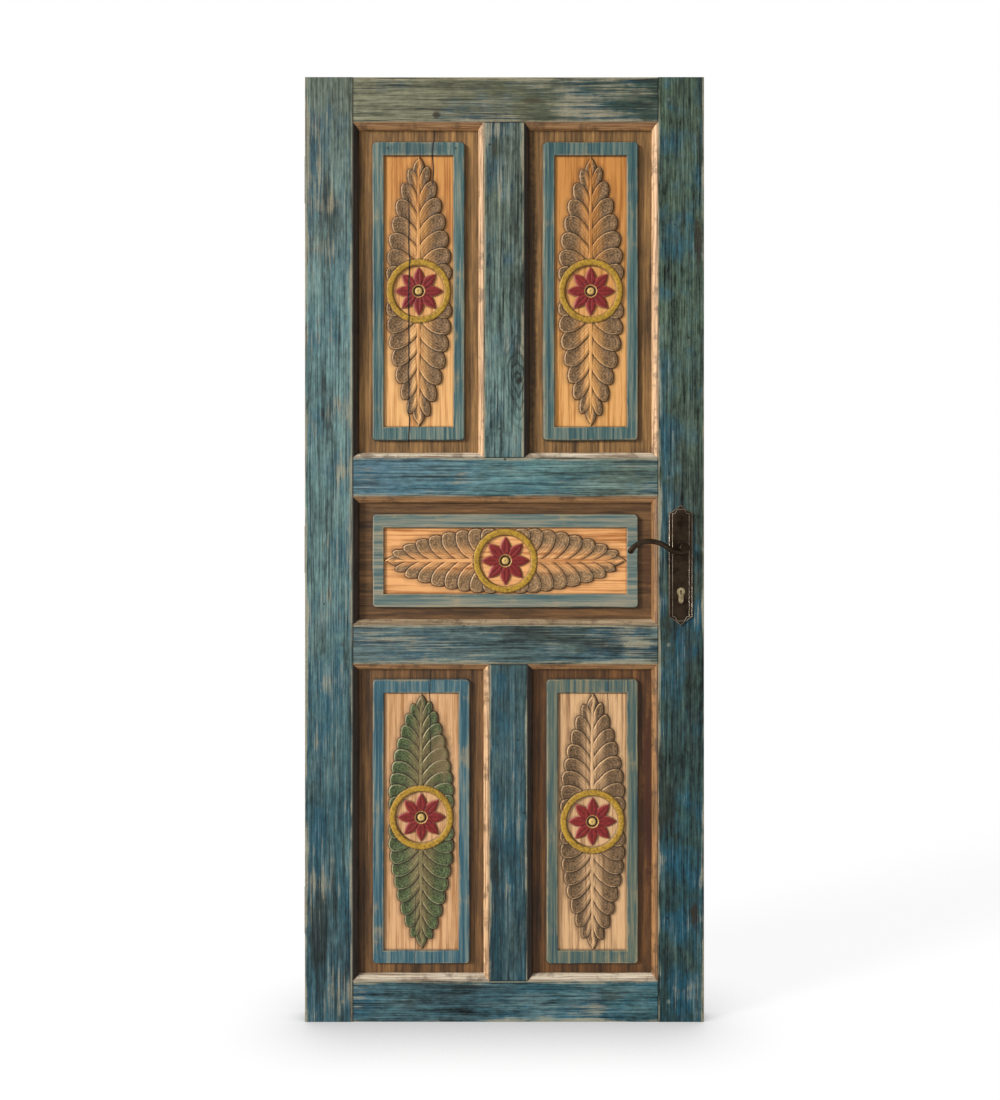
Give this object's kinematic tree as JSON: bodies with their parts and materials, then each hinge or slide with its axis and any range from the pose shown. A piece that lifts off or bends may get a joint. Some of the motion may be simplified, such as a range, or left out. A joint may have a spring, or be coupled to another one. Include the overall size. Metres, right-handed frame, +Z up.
{
  "type": "panelled door leaf",
  "caption": "Weathered blue wooden door leaf with carved raised panels, mitred beads, lever lockset and lift-off hinges; the leaf swings, the latch and the bolt work.",
  "frame": {"origin": "middle of the leaf's bottom edge, halfway through its thickness", "axes": "+Z up the leaf, +X towards the lock edge, +Y away from the carved front face"},
  "size_m": [0.858, 0.1426, 2],
  "materials": {
    "blue_paint": "worn blue-green paint on softwood",
    "carved_panel": "oiled softwood with worn paint on the border and carving",
    "bead_wood": "bare oiled softwood",
    "peg_wood": "painted peg ends",
    "dark_bronze": "dark bronze patina",
    "cylinder_brass": "satin nickel over brass",
    "lock_steel": "zinc-plated sheet and bar",
    "face_brass": "aged brass",
    "hinge_iron": "dull iron"
  },
  "bodies": {
    "hinge_frame_halves": {"top_hinge_frame_half": "hinge_iron", "middle_hinge_frame_half": "hinge_iron", "bottom_hinge_frame_half": "hinge_iron"},
    "leaf": {"hinge_stile": "blue_paint", "lock_stile": "blue_paint", "top_rail": "blue_paint", "upper_lock_rail": "blue_paint", "lower_lock_rail": "blue_paint", "bottom_rail": "blue_paint", "upper_mullion": "blue_paint", "lower_mullion": "blue_paint", "upper_left_panel": "carved_panel", "upper_right_panel": "carved_panel", "middle_panel": "carved_panel", "lower_left_panel": "carved_panel", "lower_right_panel": "carved_panel", "upper_left_bead_left": "bead_wood", "upper_left_bead_top": "bead_wood", "upper_left_bead_right": "bead_wood", "upper_left_bead_bottom": "bead_wood", "upper_right_bead_left": "bead_wood", "upper_right_bead_top": "bead_wood", "upper_right_bead_right": "bead_wood", "upper_right_bead_bottom": "bead_wood", "middle_bead_left": "bead_wood", "middle_bead_top": "bead_wood", "middle_bead_right": "bead_wood", "middle_bead_bottom": "bead_wood", "lower_left_bead_left": "bead_wood", "lower_left_bead_top": "bead_wood", "lower_left_bead_right": "bead_wood", "lower_left_bead_bottom": "bead_wood", "lower_right_bead_left": "bead_wood", "lower_right_bead_top": "bead_wood", "lower_right_bead_right": "bead_wood", "lower_right_bead_bottom": "bead_wood", "joint_pegs": "peg_wood", "front_plate": "dark_bronze", "rear_plate": "dark_bronze", "plate_screws": "dark_bronze", "lock_case": "lock_steel", "lock_cover": "lock_steel", "face_plate": "face_brass", "face_plate_screws": "face_brass", "cylinder_body": "cylinder_brass", "cylinder_screw": "face_brass", "hinge_screws": "hinge_iron", "top_hinge_socket": "hinge_iron", "middle_hinge_socket": "hinge_iron", "bottom_hinge_socket": "hinge_iron"},
    "handle": {"front_lever": "dark_bronze", "rear_lever": "dark_bronze", "spindle": "lock_steel", "follower": "lock_steel"},
    "latch": {"latch_bolt": "face_brass", "latch_spring": "lock_steel"},
    "front_key": {"front_key_plug": "cylinder_brass", "cylinder_cam": "cylinder_brass"},
    "rear_key": {"rear_key_plug": "cylinder_brass"},
    "bolt": {"dead_bolt": "face_brass"}
  },
  "joints": [
    {"name": "leaf_swing", "type": "hinge", "parent": "hinge_frame_halves", "child": "leaf", "pos_m": [-0.4235, 0.0293, 1], "axis": [0, 0, 1], "range_deg": [0, 170]},
    {"name": "lever_press", "type": "hinge", "parent": "leaf", "child": "handle", "pos_m": [0.3725, 0, 1.003], "axis": [0, -1, 0], "range_deg": [0, 20], "stiffness_Nm_per_rad": 1, "springref_deg": -28.65},
    {"name": "latch_retract", "type": "slide", "parent": "leaf", "child": "latch", "axis": [-1, 0, 0], "range_m": [0, 0.0055], "deforming": ["latch_spring"]},
    {"name": "front_key_turn", "type": "hinge", "parent": "leaf", "child": "front_key", "pos_m": [0.3725, 0, 0.911], "axis": [0, 1, 0], "range_deg": [0, 360]},
    {"name": "bolt_throw", "type": "slide", "parent": "leaf", "child": "bolt", "axis": [1, 0, 0], "range_m": [0, 0.02]},
    {"name": "rear_key_turn", "type": "hinge", "parent": "leaf", "child": "rear_key", "pos_m": [0.3725, 0, 0.911], "axis": [0, -1, 0], "range_deg": [0, 360]}
  ],
  "couplings": [
    {"joint": "latch_retract", "follows": "lever_press", "m_per_rad": 0.01575},
    {"joint": "front_key_turn", "follows": "bolt_throw", "rad_per_m": 314.1}
  ]
}
